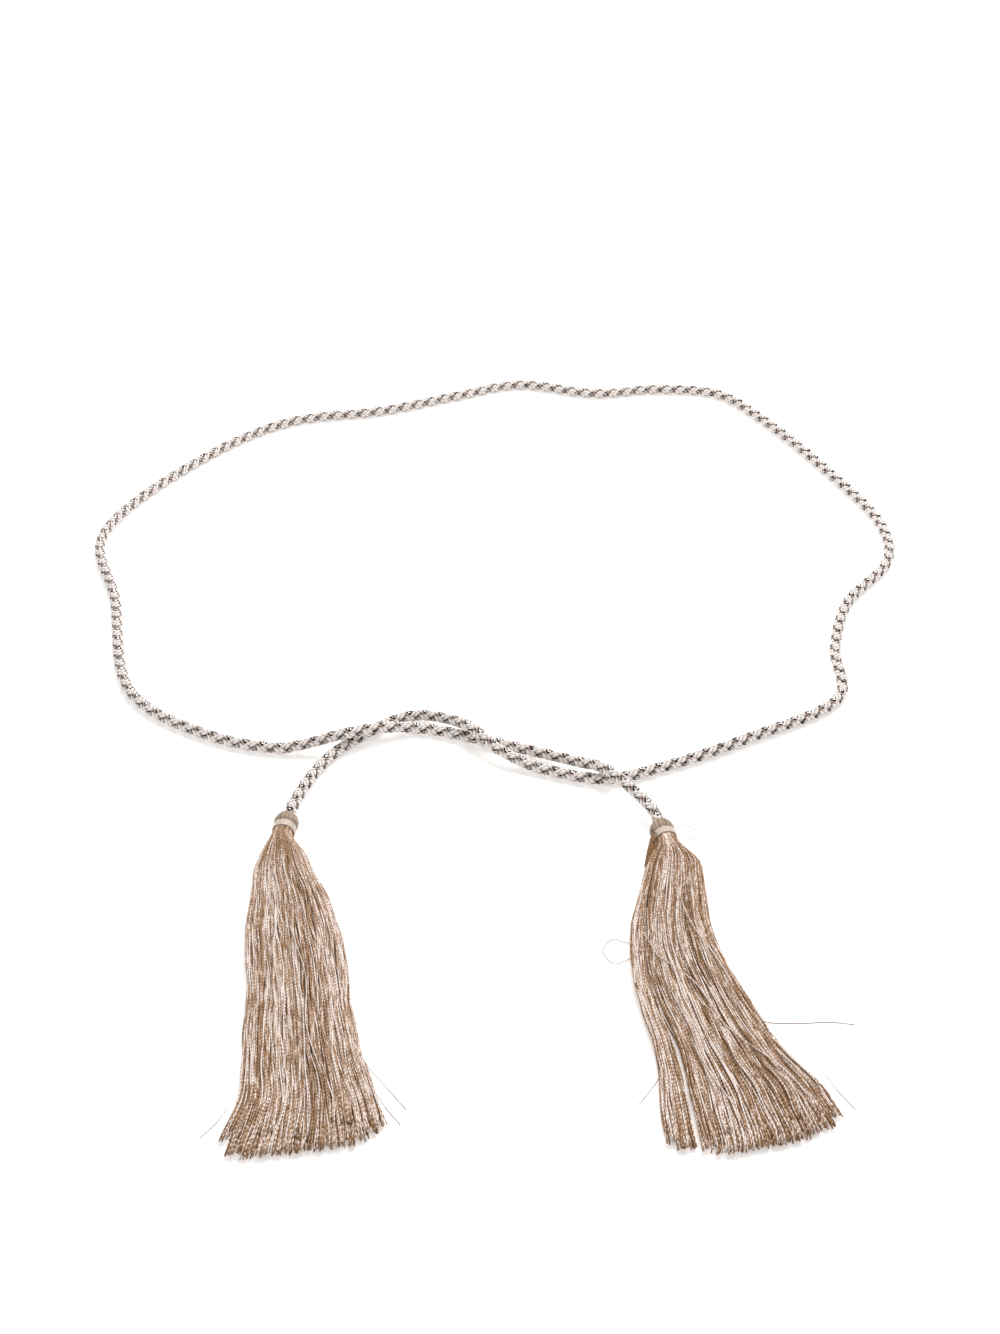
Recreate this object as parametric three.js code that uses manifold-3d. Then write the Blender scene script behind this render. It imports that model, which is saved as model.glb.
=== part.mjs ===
// A braided cord belt with a long thread tassel on each end, laid on a flat surface.
// Millimetres, +Z up, the surface at z = 0, the tassels' tips towards -Y and the loop towards +Y.
import * as THREE from 'three';
import { mergeVertices } from 'three/addons/utils/BufferGeometryUtils.js';
import Module from 'manifold-3d';

// Driving sizes of the cord
const CORD_DIAMETER = 5.6;
const CORD_SIDES = 8;
const STEPS_PER_SPAN = 2;
const CROSSING_GAP = 0.4;

// Driving sizes of a tassel
const HEAD_DIAMETER = 11.2;
const HEAD_LENGTH = 7.6;
const HEAD_FLAT = 0.25;
const CORD_SEAT_DIAMETER = 6;
const BINDING_WIDTH = 3.4;
const BINDING_THICKNESS = 0.9;
const BINDING_SINK = 0.3;
const SKIRT_LENGTH = 170;
const SKIRT_END_WIDTH = 65;

// Clearances: between pieces, before the cord's end, which comes in a few degrees askew, and
// below the binding, whose lower edge dips on one side where the head is turned
const PIECE_GAP = 0.3;
const CORD_END_GAP = 0.6;
const SKIRT_TOP_GAP = 1.4;

// How finely the round and the flowing forms are divided
const HEAD_SIDES = 24;
const LOCK_SIDES = 8;
const LOCK_STEPS = 11;

// The way each tassel's head points, as a turn in degrees from straight up the page
const LEFT_TURN = -8;
const RIGHT_TURN = 12;

// Where the route's own zero lies, seen from the middle between the two tassels
const ROUTE_ZERO = { x: 0.5, y: 4.8 };

// The cord's way along the surface, from the left tassel to the right one. lift is 0 where the
// cord lies on the surface and 1 where it lies right over the stretch that it crosses.
const CORD_ROUTE = [
  { x: -105.8, y: 87.4, lift: 0 },
  { x: -104.6, y: 94.5, lift: 0.42 },
  { x: -95.5, y: 122.5, lift: 0 },
  { x: -82.2, y: 140.3, lift: 0 },
  { x: -54, y: 159.8, lift: 0 },
  { x: -37, y: 154.6, lift: 0.45 },
  { x: -24.5, y: 143.3, lift: 1 },
  { x: -12, y: 131, lift: 0.6 },
  { x: 6, y: 122.3, lift: 0 },
  { x: 36.5, y: 114.4, lift: 0 },
  { x: 62, y: 122.2, lift: 0 },
  { x: 104, y: 142.8, lift: 0 },
  { x: 153, y: 175, lift: 0 },
  { x: 156.3, y: 213, lift: 0 },
  { x: 168.7, y: 253, lift: 0 },
  { x: 195.8, y: 291.5, lift: 0 },
  { x: 197.5, y: 325, lift: 0 },
  { x: 177, y: 378, lift: 0 },
  { x: 144, y: 440, lift: 0 },
  { x: 121, y: 468.5, lift: 0 },
  { x: 85, y: 474.3, lift: 0 },
  { x: 46, y: 469.3, lift: 0 },
  { x: 0, y: 479.8, lift: 0 },
  { x: -40, y: 465.3, lift: 0 },
  { x: -82, y: 448.3, lift: 0 },
  { x: -134.5, y: 436.1, lift: 0 },
  { x: -175, y: 403.5, lift: 0 },
  { x: -227.3, y: 316, lift: 0 },
  { x: -211.5, y: 256, lift: 0 },
  { x: -190, y: 176.5, lift: 0 },
  { x: -150, y: 146, lift: 0 },
  { x: -115, y: 136.2, lift: 0 },
  { x: -82.3, y: 140.3, lift: 1 },
  { x: -66, y: 147.6, lift: 0.5 },
  { x: -50, y: 150.6, lift: 0 },
  { x: -24.5, y: 143.6, lift: 0 },
  { x: 24, y: 123.8, lift: 0.4 },
  { x: 36.5, y: 114.5, lift: 1 },
  { x: 57.1, y: 88.6, lift: 0.6 },
  { x: 58.9, y: 82.7, lift: 0 },
];

// The dome over the binding: along is a share of its length, radius of the head's radius
const DOME_PROFILE = [
  { along: 0, radius: 0.93 },
  { along: 0.3, radius: 1 },
  { along: 0.65, radius: 0.88 },
];

// A skirt's stations from the neck to the tips. down is a share of the skirt's length, aside and
// spread are shares of its end width, lift and thick are shares of the head's diameter, round is
// how far the bundle is still round there and lean is the turn of the station in degrees.
const LEFT_STATIONS = [
  { down: 0, aside: 0, spread: 0.12, lift: 0.48, thick: 0.84, round: 1, lean: 0 },
  { down: 0.06, aside: 0.01, spread: 0.29, lift: 0.43, thick: 0.8, round: 0.95, lean: 0 },
  { down: 0.135, aside: 0.03, spread: 0.41, lift: 0.36, thick: 0.7, round: 0.85, lean: 0 },
  { down: 0.24, aside: 0.105, spread: 0.56, lift: 0.28, thick: 0.57, round: 0.75, lean: 0 },
  { down: 0.37, aside: 0.16, spread: 0.64, lift: 0.23, thick: 0.49, round: 0.65, lean: 0 },
  { down: 0.47, aside: 0.2, spread: 0.655, lift: 0.2, thick: 0.44, round: 0.55, lean: 0 },
  { down: 0.58, aside: 0.235, spread: 0.67, lift: 0.18, thick: 0.41, round: 0.5, lean: 0 },
  { down: 0.73, aside: 0.285, spread: 0.74, lift: 0.16, thick: 0.36, round: 0.5, lean: 0 },
  { down: 0.84, aside: 0.345, spread: 0.83, lift: 0.14, thick: 0.32, round: 0.4, lean: 2 },
  { down: 0.97, aside: 0.345, spread: 1.05, lift: 0.12, thick: 0.28, round: 0.4, lean: 7 },
];
const RIGHT_STATIONS = [
  { down: 0, aside: 0, spread: 0.12, lift: 0.48, thick: 0.84, round: 1, lean: 0 },
  { down: 0.06, aside: 0.05, spread: 0.36, lift: 0.43, thick: 0.8, round: 0.95, lean: 0 },
  { down: 0.19, aside: 0.01, spread: 0.45, lift: 0.33, thick: 0.68, round: 0.85, lean: 6 },
  { down: 0.28, aside: -0.01, spread: 0.51, lift: 0.28, thick: 0.58, round: 0.75, lean: 4 },
  { down: 0.37, aside: 0, spread: 0.58, lift: 0.24, thick: 0.51, round: 0.65, lean: 7 },
  { down: 0.45, aside: 0.035, spread: 0.64, lift: 0.21, thick: 0.46, round: 0.55, lean: 8 },
  { down: 0.54, aside: 0.095, spread: 0.68, lift: 0.19, thick: 0.42, round: 0.5, lean: 7 },
  { down: 0.63, aside: 0.175, spread: 0.7, lift: 0.17, thick: 0.38, round: 0.5, lean: 7 },
  { down: 0.72, aside: 0.25, spread: 0.8, lift: 0.15, thick: 0.35, round: 0.5, lean: 8 },
  { down: 0.79, aside: 0.315, spread: 0.96, lift: 0.14, thick: 0.32, round: 0.4, lean: 9 },
  { down: 0.92, aside: 0.385, spread: 1.07, lift: 0.12, thick: 0.28, round: 0.4, lean: 13 },
];

// The locks of threads that a skirt falls into. across runs from 0 at the left edge to 1 at the
// right one, reach is a share of the skirt's length, girth of the even share of its width, rise
// of the head's diameter, and drift moves the tip sideways by a share of the end width.
const LEFT_LOCKS = [
  { across: 0.02, reach: 0.935, girth: 0.9, rise: 0, drift: 0 },
  { across: 0.11, reach: 0.972, girth: 1.1, rise: 0.01, drift: -0.01 },
  { across: 0.2, reach: 0.985, girth: 1, rise: 0, drift: 0 },
  { across: 0.29, reach: 0.978, girth: 1.15, rise: 0.02, drift: 0 },
  { across: 0.38, reach: 0.984, girth: 1, rise: 0, drift: 0.01 },
  { across: 0.46, reach: 0.977, girth: 1.05, rise: 0.01, drift: 0 },
  { across: 0.55, reach: 0.982, girth: 1.1, rise: 0.03, drift: -0.01 },
  { across: 0.64, reach: 0.976, girth: 1, rise: 0, drift: 0 },
  { across: 0.73, reach: 0.979, girth: 1.1, rise: 0.02, drift: 0 },
  { across: 0.82, reach: 0.965, girth: 1.05, rise: 0, drift: 0.01 },
  { across: 0.91, reach: 0.95, girth: 1, rise: 0.01, drift: 0 },
  { across: 0.985, reach: 0.93, girth: 0.85, rise: 0, drift: 0 },
  { across: 0.24, reach: 0.93, girth: 0.8, rise: 0.07, drift: 0.02 },
  { across: 0.5, reach: 0.95, girth: 0.9, rise: 0.08, drift: -0.03 },
  { across: 0.76, reach: 0.92, girth: 0.8, rise: 0.07, drift: 0.02 },
];
const RIGHT_LOCKS = [
  { across: 0.01, reach: 0.89, girth: 0.8, rise: 0, drift: -0.03 },
  { across: 0.07, reach: 0.91, girth: 0.75, rise: 0, drift: -0.02 },
  { across: 0.18, reach: 0.922, girth: 0.9, rise: 0.01, drift: 0.01 },
  { across: 0.27, reach: 0.94, girth: 1.1, rise: 0, drift: 0 },
  { across: 0.36, reach: 0.945, girth: 1.05, rise: 0.02, drift: 0 },
  { across: 0.45, reach: 0.942, girth: 1.1, rise: 0, drift: 0 },
  { across: 0.54, reach: 0.946, girth: 1.05, rise: 0.01, drift: 0.01 },
  { across: 0.63, reach: 0.945, girth: 1.1, rise: 0.03, drift: 0 },
  { across: 0.72, reach: 0.944, girth: 1, rise: 0, drift: 0 },
  { across: 0.81, reach: 0.934, girth: 1.1, rise: 0.01, drift: 0 },
  { across: 0.9, reach: 0.925, girth: 1, rise: 0, drift: 0 },
  { across: 0.98, reach: 0.9, girth: 0.85, rise: 0, drift: 0 },
  { across: 0.32, reach: 0.9, girth: 0.8, rise: 0.07, drift: -0.02 },
  { across: 0.56, reach: 0.92, girth: 0.9, rise: 0.08, drift: 0.03 },
  { across: 0.8, reach: 0.89, girth: 0.8, rise: 0.06, drift: -0.02 },
];

// Shares that all the locks keep: how many lie side by side, how far each overlaps the next,
// where the upper ones have risen, how the bundle's edges fall and how the tips thin out
const LOCKS_ACROSS = 12;
const LOCK_OVERLAP = 1.45;
const RISEN_BY = 0.25;
const EDGE_FALL = 0.9;
const TIP_START = 0.85;
const TIP_THINNING = 0.25;

const wasm = await Module();
wasm.setup();

const cordMaterial = new THREE.MeshStandardMaterial({ color: 0xd9c6b6, roughness: 0.45 });
const threadMaterial = new THREE.MeshStandardMaterial({ color: 0xcdab8c, roughness: 0.4 });
const bindingMaterial = new THREE.MeshStandardMaterial({ color: 0xe3cbb8, roughness: 0.3 });

// The welded positions of a geometry as a solid that can be joined and cut
function toSolid(geometry) {
  const bare = geometry.clone();
  bare.deleteAttribute('normal');
  bare.deleteAttribute('uv');
  const welded = mergeVertices(bare, 1e-4);
  return new wasm.Manifold(new wasm.Mesh({
    numProp: 3,
    vertProperties: new Float32Array(welded.attributes.position.array),
    triVerts: new Uint32Array(welded.index.array),
  }));
}

// A joined or cut solid as a geometry again
function toGeometry(solid) {
  const mesh = solid.getMesh();
  const geometry = new THREE.BufferGeometry();
  geometry.setAttribute('position', new THREE.BufferAttribute(mesh.vertProperties, 3));
  geometry.setIndex(new THREE.BufferAttribute(mesh.triVerts, 1));
  geometry.computeVertexNormals();
  return geometry;
}

// Heights that the pieces share: the head's axis and the cord's, lying and lifted
const headHeight = HEAD_DIAMETER / 2 - HEAD_FLAT;
const cordRadius = CORD_DIAMETER / 2;

function cordPoints() {
  const climb = CORD_DIAMETER + CROSSING_GAP;
  const points = CORD_ROUTE.map(({ x, y, lift }) => new THREE.Vector3(
    x + ROUTE_ZERO.x,
    y + ROUTE_ZERO.y,
    cordRadius + lift * climb,
  ));
  points[0].z = headHeight;
  points[points.length - 1].z = headHeight;
  return points;
}

// Cord: a curve that never sinks into the surface. Its steps follow its points, so they are
// short at the crossings and long on the wide bends.
class CordCurve extends THREE.CatmullRomCurve3 {
  getPoint(t, target) {
    const point = super.getPoint(t, target);
    point.z = Math.max(point.z, cordRadius);
    return point;
  }

  getUtoTmapping(u) {
    return u;
  }
}

function beltCord() {
  const circle = new THREE.EllipseCurve(0, 0, cordRadius, cordRadius);
  const section = new THREE.Shape(circle.getPoints(CORD_SIDES).slice(0, CORD_SIDES));
  const geometry = new THREE.ExtrudeGeometry(section, {
    steps: STEPS_PER_SPAN * (CORD_ROUTE.length - 1),
    extrudePath: new CordCurve(cordPoints()),
  });
  const cord = new THREE.Mesh(geometry, cordMaterial);
  cord.name = 'belt_cord';
  return cord;
}

// Tassel head: a dome of folded threads, the waist that the binding draws in, and a shoulder
// inside the top of the skirt, all turned round the head's own y axis
const bindingOuter = HEAD_DIAMETER / 2 - BINDING_SINK;
const bindingInner = bindingOuter - BINDING_THICKNESS;
const groove = BINDING_WIDTH / 2 + PIECE_GAP;
const skirtTop = groove + SKIRT_TOP_GAP;

function headSolid(turn) {
  const radius = HEAD_DIAMETER / 2;
  const waist = bindingInner - PIECE_GAP;
  const top = groove + HEAD_LENGTH;
  const dome = new THREE.SplineCurve([
    ...DOME_PROFILE.map(
      (row) => new THREE.Vector2(row.radius * radius, groove + row.along * HEAD_LENGTH)),
    new THREE.Vector2(CORD_SEAT_DIAMETER / 2, top),
  ]);
  const geometry = new THREE.LatheGeometry([
    new THREE.Vector2(0, -groove - waist),
    new THREE.Vector2(waist, -groove - waist),
    new THREE.Vector2(waist, groove),
    ...dome.getPoints(2 * DOME_PROFILE.length),
    new THREE.Vector2(0, top),
  ], HEAD_SIDES);
  geometry.rotateZ(THREE.MathUtils.degToRad(turn));
  geometry.translate(0, 0, headHeight);
  return toSolid(geometry);
}

// A station's values at any share of the way down, between the rows above and below it
function stationAt(stations, down) {
  const below = stations.findIndex((row) => row.down > down);
  const b = stations[below < 0 ? stations.length - 1 : below];
  const a = stations[below < 0 ? stations.length - 2 : below - 1];
  const share = Math.min((down - a.down) / (b.down - a.down), 1);
  const mixed = {};
  for (const key of Object.keys(a)) {
    mixed[key] = a[key] + (b[key] - a[key]) * share;
  }
  return mixed;
}

// One lock: a flattened bundle that leaves the neck and runs down to its own blunt tip, bent
// out of an upright cylinder whose rings become its sections
function lockSolid(stations, lock) {
  const geometry = new THREE.CylinderGeometry(1, 1, 1, LOCK_SIDES, LOCK_STEPS);
  const position = geometry.attributes.position;
  const corner = new THREE.Vector3();
  const side = 2 * lock.across - 1;
  for (let i = 0; i < position.count; i += 1) {
    corner.fromBufferAttribute(position, i);
    const way = 0.5 - corner.y;
    const at = stationAt(stations, lock.reach * way);
    const width = at.spread * SKIRT_END_WIDTH;
    const halfWidth = width / LOCKS_ACROSS * lock.girth * LOCK_OVERLAP / 2;
    const crown = Math.sqrt(1 - EDGE_FALL * at.round * side * side);
    const tip = Math.max(0, way - TIP_START) / (1 - TIP_START);
    const halfHeight = at.thick * HEAD_DIAMETER / 2 * crown * (1 - TIP_THINNING * tip);
    const drift = lock.drift * SKIRT_END_WIDTH * way * way;
    const across = (width / 2 - halfWidth) * side + drift + corner.x * halfWidth;
    const rise = lock.rise * HEAD_DIAMETER * Math.min(1, way / RISEN_BY);
    const lean = THREE.MathUtils.degToRad(at.lean);
    position.setXYZ(
      i,
      at.aside * SKIRT_END_WIDTH + across * Math.cos(lean),
      -skirtTop - lock.reach * way * SKIRT_LENGTH + across * Math.sin(lean),
      at.lift * HEAD_DIAMETER + rise + corner.z * halfHeight,
    );
  }
  return toSolid(geometry);
}

// The surface that the belt lies on, as a block that flattens the threads from below
function surfaceBlock() {
  const side = 3 * SKIRT_LENGTH;
  const block = new THREE.BoxGeometry(side, side, HEAD_DIAMETER);
  block.translate(0, 0, -HEAD_DIAMETER / 2);
  return toSolid(block);
}

function tassel(name, stations, locks, turn) {
  let solid = headSolid(turn);
  for (const lock of locks) {
    solid = solid.add(lockSolid(stations, lock));
  }
  const mesh = new THREE.Mesh(toGeometry(solid.subtract(surfaceBlock())), threadMaterial);
  mesh.name = name;
  return mesh;
}

// Binding: turns of satin thread wound into a band round the waist of the head
function binding(name, turn) {
  const half = BINDING_WIDTH / 2;
  const edge = BINDING_THICKNESS / 3;
  const profile = [
    new THREE.Vector2(bindingInner, -half),
    new THREE.Vector2(bindingOuter - edge, -half),
    new THREE.Vector2(bindingOuter, -half + edge),
    new THREE.Vector2(bindingOuter, half - edge),
    new THREE.Vector2(bindingOuter - edge, half),
    new THREE.Vector2(bindingInner, half),
    new THREE.Vector2(bindingInner, -half),
  ];
  const band = new THREE.Mesh(new THREE.LatheGeometry(profile, HEAD_SIDES), bindingMaterial);
  band.name = name;
  band.rotation.z = THREE.MathUtils.degToRad(turn);
  band.position.z = headHeight;
  return band;
}

// A tassel with its binding, placed so that its dome's top meets the cord's end
function tasselGroup(side, stations, locks, turn, cordEnd) {
  const group = new THREE.Group();
  group.add(
    tassel(`${side}_tassel`, stations, locks, turn),
    binding(`${side}_binding`, turn),
  );
  const angle = THREE.MathUtils.degToRad(turn);
  const toCord = groove + HEAD_LENGTH + CORD_END_GAP;
  group.position.set(
    cordEnd.x + Math.sin(angle) * toCord,
    cordEnd.y - Math.cos(angle) * toCord,
    0,
  );
  return group;
}

const cordEnds = [cordPoints().at(0), cordPoints().at(-1)];
const belt = new THREE.Group();
belt.add(
  beltCord(),
  tasselGroup('left', LEFT_STATIONS, LEFT_LOCKS, LEFT_TURN, cordEnds[0]),
  tasselGroup('right', RIGHT_STATIONS, RIGHT_LOCKS, RIGHT_TURN, cordEnds[1]),
);

export default belt;
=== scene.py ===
import math
import bpy
import numpy as np
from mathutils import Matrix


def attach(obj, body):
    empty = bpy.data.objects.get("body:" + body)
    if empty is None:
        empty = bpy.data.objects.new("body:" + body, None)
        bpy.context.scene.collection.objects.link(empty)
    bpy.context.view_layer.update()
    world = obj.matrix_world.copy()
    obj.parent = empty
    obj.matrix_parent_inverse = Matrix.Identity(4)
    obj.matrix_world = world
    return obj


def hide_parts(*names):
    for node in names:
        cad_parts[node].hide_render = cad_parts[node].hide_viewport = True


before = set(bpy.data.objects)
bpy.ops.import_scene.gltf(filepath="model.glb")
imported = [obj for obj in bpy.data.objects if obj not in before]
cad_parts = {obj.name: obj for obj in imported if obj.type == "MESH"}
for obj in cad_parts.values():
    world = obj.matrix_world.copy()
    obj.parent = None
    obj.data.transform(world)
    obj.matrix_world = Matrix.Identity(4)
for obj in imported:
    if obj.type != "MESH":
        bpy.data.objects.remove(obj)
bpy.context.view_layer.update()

# Camera: a 50 mm lens on a 36 mm frame, standing before the tassels' tips and looking 38 degrees
# down along the belt, so that the loop of cord lies in the upper half of the picture.
look_down = 38
camera_lens = bpy.data.cameras.new("camera")
camera_lens.lens = 50
camera_lens.sensor_width = 36
camera = bpy.data.objects.new("camera", camera_lens)
camera.location = (-0.01114, -0.51954, 0.567)
camera.rotation_euler = (math.radians(90 - look_down), 0, 0)
bpy.context.scene.collection.objects.link(camera)
bpy.context.scene.camera = camera
bpy.context.scene.view_settings.view_transform = "Standard"

# Cord: a round braid 5.6 mm thick of 16 yarns, half of them laid to the right and half to the left,
# each passing over two others and under two. Pairs of dark silver metallic yarns run between
# pairs of soft blush satin ones, and where two silver pairs cross they show as a small diamond.
cord_width = 0.0056
# where one cord lies on another there is 0.4 mm to spare between them
climb = cord_width + 0.0004
# the route's own zero, seen from the frame's origin
route_zero = np.array([0.0005, 0.0048])
# x and y in metres, and the height as a share of the climb over a crossing
cord_route = [
    (-0.1058, 0.0874, 0.5), (-0.1046, 0.0945, 0.42), (-0.0955, 0.1225, 0), (-0.0822, 0.1403, 0),
    (-0.0540, 0.1598, 0), (-0.0370, 0.1546, 0.45), (-0.0245, 0.1433, 1), (-0.0120, 0.1310, 0.6),
    (0.0060, 0.1223, 0), (0.0365, 0.1144, 0), (0.0620, 0.1222, 0), (0.1040, 0.1428, 0),
    (0.1530, 0.1750, 0), (0.1563, 0.2130, 0), (0.1687, 0.2530, 0), (0.1958, 0.2915, 0),
    (0.1975, 0.3250, 0), (0.1770, 0.3780, 0), (0.1440, 0.4400, 0), (0.1210, 0.4685, 0),
    (0.0850, 0.4743, 0), (0.0460, 0.4693, 0), (0.0000, 0.4798, 0), (-0.0400, 0.4653, 0),
    (-0.0820, 0.4483, 0), (-0.1345, 0.4361, 0), (-0.1750, 0.4035, 0), (-0.2273, 0.3160, 0),
    (-0.2115, 0.2560, 0), (-0.1900, 0.1765, 0), (-0.1500, 0.1460, 0), (-0.1150, 0.1362, 0),
    (-0.0823, 0.1403, 1), (-0.0660, 0.1476, 0.5), (-0.0500, 0.1506, 0), (-0.0245, 0.1436, 0),
    (0.0240, 0.1238, 0.4), (0.0365, 0.1145, 1), (0.0571, 0.0886, 0.6), (0.0589, 0.0827, 0.5),
]
# the cord's ends go on for 2.2 mm inside the tassels' heads, which lie pressed 0.25 mm flat
head_width = 0.0112
head_axis = head_width / 2 - 0.00025
tuck = 0.0022
# yarns and threads that are pressed flat on the surface stay this little above it
least_height = 0.00002


def smooth_way(points, steps):
    """A smooth line through the points, evened out to short steps, with its length so far."""
    ends = np.vstack([2 * points[0] - points[1], points, 2 * points[-1] - points[-2]])
    line = [points[0]]
    for i in range(1, len(ends) - 2):
        a, b, c, d = ends[i - 1:i + 3]
        ab, bc, cd = (max(np.linalg.norm(q - p) ** 0.5, 1e-6) for p, q in ((a, b), (b, c), (c, d)))
        out = ((b - a) / ab - (c - a) / (ab + bc) + (c - b) / bc) * bc
        into = ((c - b) / bc - (d - b) / (bc + cd) + (d - c) / cd) * bc
        for t in np.linspace(0, 1, steps + 1)[1:]:
            line.append(b + out * t + (-3 * b + 3 * c - 2 * out - into) * t ** 2
                        + (2 * b - 2 * c + out + into) * t ** 3)
    line = np.array(line)
    along = np.concatenate([[0], np.cumsum(np.linalg.norm(np.diff(line, axis=0), axis=1))])
    return line, along


def sideways(line):
    """For each point of a line that lies flat: the way to its side, and the way up from it."""
    ahead = np.gradient(line, axis=0)
    ahead /= np.linalg.norm(ahead, axis=1)[:, None]
    side = np.cross([0, 0, 1], ahead)
    side /= np.linalg.norm(side, axis=1)[:, None]
    return side, np.cross(ahead, side)


def eased(share):
    """A share from 0 to 1 that starts and ends gently."""
    return share ** 2 * (3 - 2 * share)


def threads_mesh(name, rings, tones):
    """Closed round threads as one mesh, from an array of threads, rings, corners and x y z.
    The UV map holds the share of the way round and the way along in metres. A tone is given
    for each thread, or for each of its rings."""
    threads, steps, corners, _ = rings.shape
    grid = np.arange(threads * steps * corners).reshape(threads, steps, corners)
    here, there = grid[:, :-1, :], grid[:, 1:, :]
    walls = np.stack([here, np.roll(here, -1, 2), np.roll(there, -1, 2), there], -1)
    faces = walls.reshape(-1, 4).tolist()
    faces += grid[:, 0, ::-1].tolist() + grid[:, -1, :].tolist()
    mesh = bpy.data.meshes.new(name)
    mesh.from_pydata(rings.reshape(-1, 3), [], faces)
    middle = rings.mean(2)
    step = np.linalg.norm(np.diff(middle, axis=1), axis=2)
    along = np.concatenate([np.zeros((threads, 1)), np.cumsum(step, 1)], 1)
    low = np.broadcast_to(along[:, :-1, None], here.shape)
    high = np.broadcast_to(along[:, 1:, None], here.shape)
    left = np.broadcast_to(np.arange(corners) / corners, here.shape)
    right = left + 1 / corners
    wall_uv = np.stack([left, low, right, low, right, high, left, high], -1).reshape(-1)
    uv = np.zeros(2 * len(mesh.loops))
    uv[:len(wall_uv)] = wall_uv
    mesh.uv_layers.new(name="thread").data.foreach_set("uv", uv)
    tone = mesh.attributes.new("tone", "FLOAT", "POINT")
    every = np.broadcast_to(np.reshape(tones, (threads, -1, 1)), (threads, steps, corners))
    tone.data.foreach_set("value", every.reshape(-1).astype(np.float32))
    mesh.shade_smooth()
    piece = bpy.data.objects.new(name, mesh)
    bpy.context.scene.collection.objects.link(piece)
    return piece


def colour(code):
    """An sRGB hex colour as Blender's linear red, green, blue and alpha."""
    parts = [int(code[i:i + 2], 16) / 255 for i in (1, 3, 5)]
    return [p / 12.92 if p <= 0.04045 else ((p + 0.055) / 1.055) ** 2.4 for p in parts] + [1]


def add_node(material, kind, settings=(), inputs=(), links=()):
    """One shader node with its settings, its input values and the sockets that feed it."""
    node = material.node_tree.nodes.new(kind)
    for key, value in dict(settings).items():
        setattr(node, key, value)
    for key, value in dict(inputs).items():
        node.inputs[key].default_value = value
    for key, socket in dict(links).items():
        material.node_tree.links.new(socket, node.inputs[key])
    return node


def new_material(name):
    """A material whose own surface shader is there to be set and linked."""
    material = bpy.data.materials.new(name)
    material.use_nodes = True
    return material, material.node_tree.nodes["Principled BSDF"]


points = np.array([(x, y, cord_width / 2 + lift * climb) for x, y, lift in cord_route])
points[:, :2] += route_zero
points[[0, -1], 2] = head_axis
cord_line, cord_along = smooth_way(points, 24)
cord_line[:, 2] = np.maximum(cord_line[:, 2], cord_width / 2)
first_way = (cord_line[0] - cord_line[1]) / np.linalg.norm(cord_line[0] - cord_line[1])
last_way = (cord_line[-1] - cord_line[-2]) / np.linalg.norm(cord_line[-1] - cord_line[-2])
cord_line = np.vstack([cord_line[0] + tuck * first_way, cord_line, cord_line[-1] + tuck * last_way])
cord_along = np.concatenate([[0], cord_along + tuck, [cord_along[-1] + 2 * tuck]])
cord_length = cord_along[-1]

# the cord's middle line, its side and its top at even steps of 0.25 mm
even = np.arange(0, cord_length, 0.00025)
even_line = np.stack([np.interp(even, cord_along, cord_line[:, k]) for k in range(3)], 1)
side, up = sideways(even_line)

# a yarn winds once round the cord in 16.6 mm, and is drawn with 36 sections on that way
lay = 0.0166
turn = 2 * math.pi / lay
stations = np.arange(0, cord_length, lay / 36)
yarns_each_way = 8
crossings = 2 * yarns_each_way
# the yarns' places over half the way round: two silver ones close together, then two blush ones
yarn_angle = np.radians([-19, 19, 63, 117])
# how far from the cord's middle a yarn lies, how far it rises and dips from there as it goes
# over and under, and the radius on which its width is laid out
yarn_reach = 0.00228
yarn_rise = 0.00022
width_radius = 0.00235
# a yarn's section: the place of each corner across it and in its height
yarn_section = np.array([(-0.5, -0.12), (0, 0.5), (0.5, -0.12), (0, -0.5)])


def round_cord(place, radius, angle):
    """Points round the cord: how far along it, how far from its middle and at what angle."""
    spot, out, high = (
        np.stack([np.interp(place, even, table[:, k]) for k in range(3)], -1)
        for table in (even_line, side, up))
    return spot + np.asarray(radius)[..., None] * (np.cos(angle)[..., None] * out
                                                   + np.sin(angle)[..., None] * high)


def yarn_rings(hand, number, width, thickness, sink):
    """The sections of one yarn on its winding way round the cord, over two and under two.
    A yarn that sinks rises only where it meets the pair of its own kind. Its tone is the share
    of its way from there to the next pair, and a yarn that doesn't has its height as its tone."""
    passed = crossings * stations / lay
    first_float = 0.5 if hand > 0 else -2.5
    weave = np.cos(2 * math.pi * (passed + hand * 2 * number - first_float) / 4)
    apart = (1 - np.cos(2 * math.pi * (number + hand * passed - 0.5) / 4)) / 2
    # a silver yarn starts to sink at 0.42 of that way and lies deepest from 0.72 on
    sunk = eased(np.clip((apart - 0.42) / 0.3, 0, 1))
    reach = yarn_reach + yarn_rise * weave - sink * sunk
    angle = yarn_angle[number % 4] + (number // 4) * math.pi + hand * turn * stations
    slant = math.atan(turn * width_radius)
    across, height = yarn_section[:, 0] * width, yarn_section[:, 1] * thickness
    place = stations[:, None] - hand * across[None, :] * math.sin(slant)
    rings = round_cord(np.clip(place, 0, even[-1]), reach[:, None] + height[None, :],
                       angle[:, None] + across[None, :] * math.cos(slant) / width_radius)
    # the yarns flatten where the cord lies on the surface
    rings[..., 2] = np.maximum(rings[..., 2], least_height)
    # these tones drive the yarns' painted highlights and painted shade
    return rings[:, ::-1], (apart if sink else (1 + weave) / 2)


# Satin viscose yarn: soft blush, with a silky gleam along its fine fibres
satin, shader = new_material("blush_satin_yarn")
uv = add_node(satin, "ShaderNodeUVMap", {"uv_map": "thread"})
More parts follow.
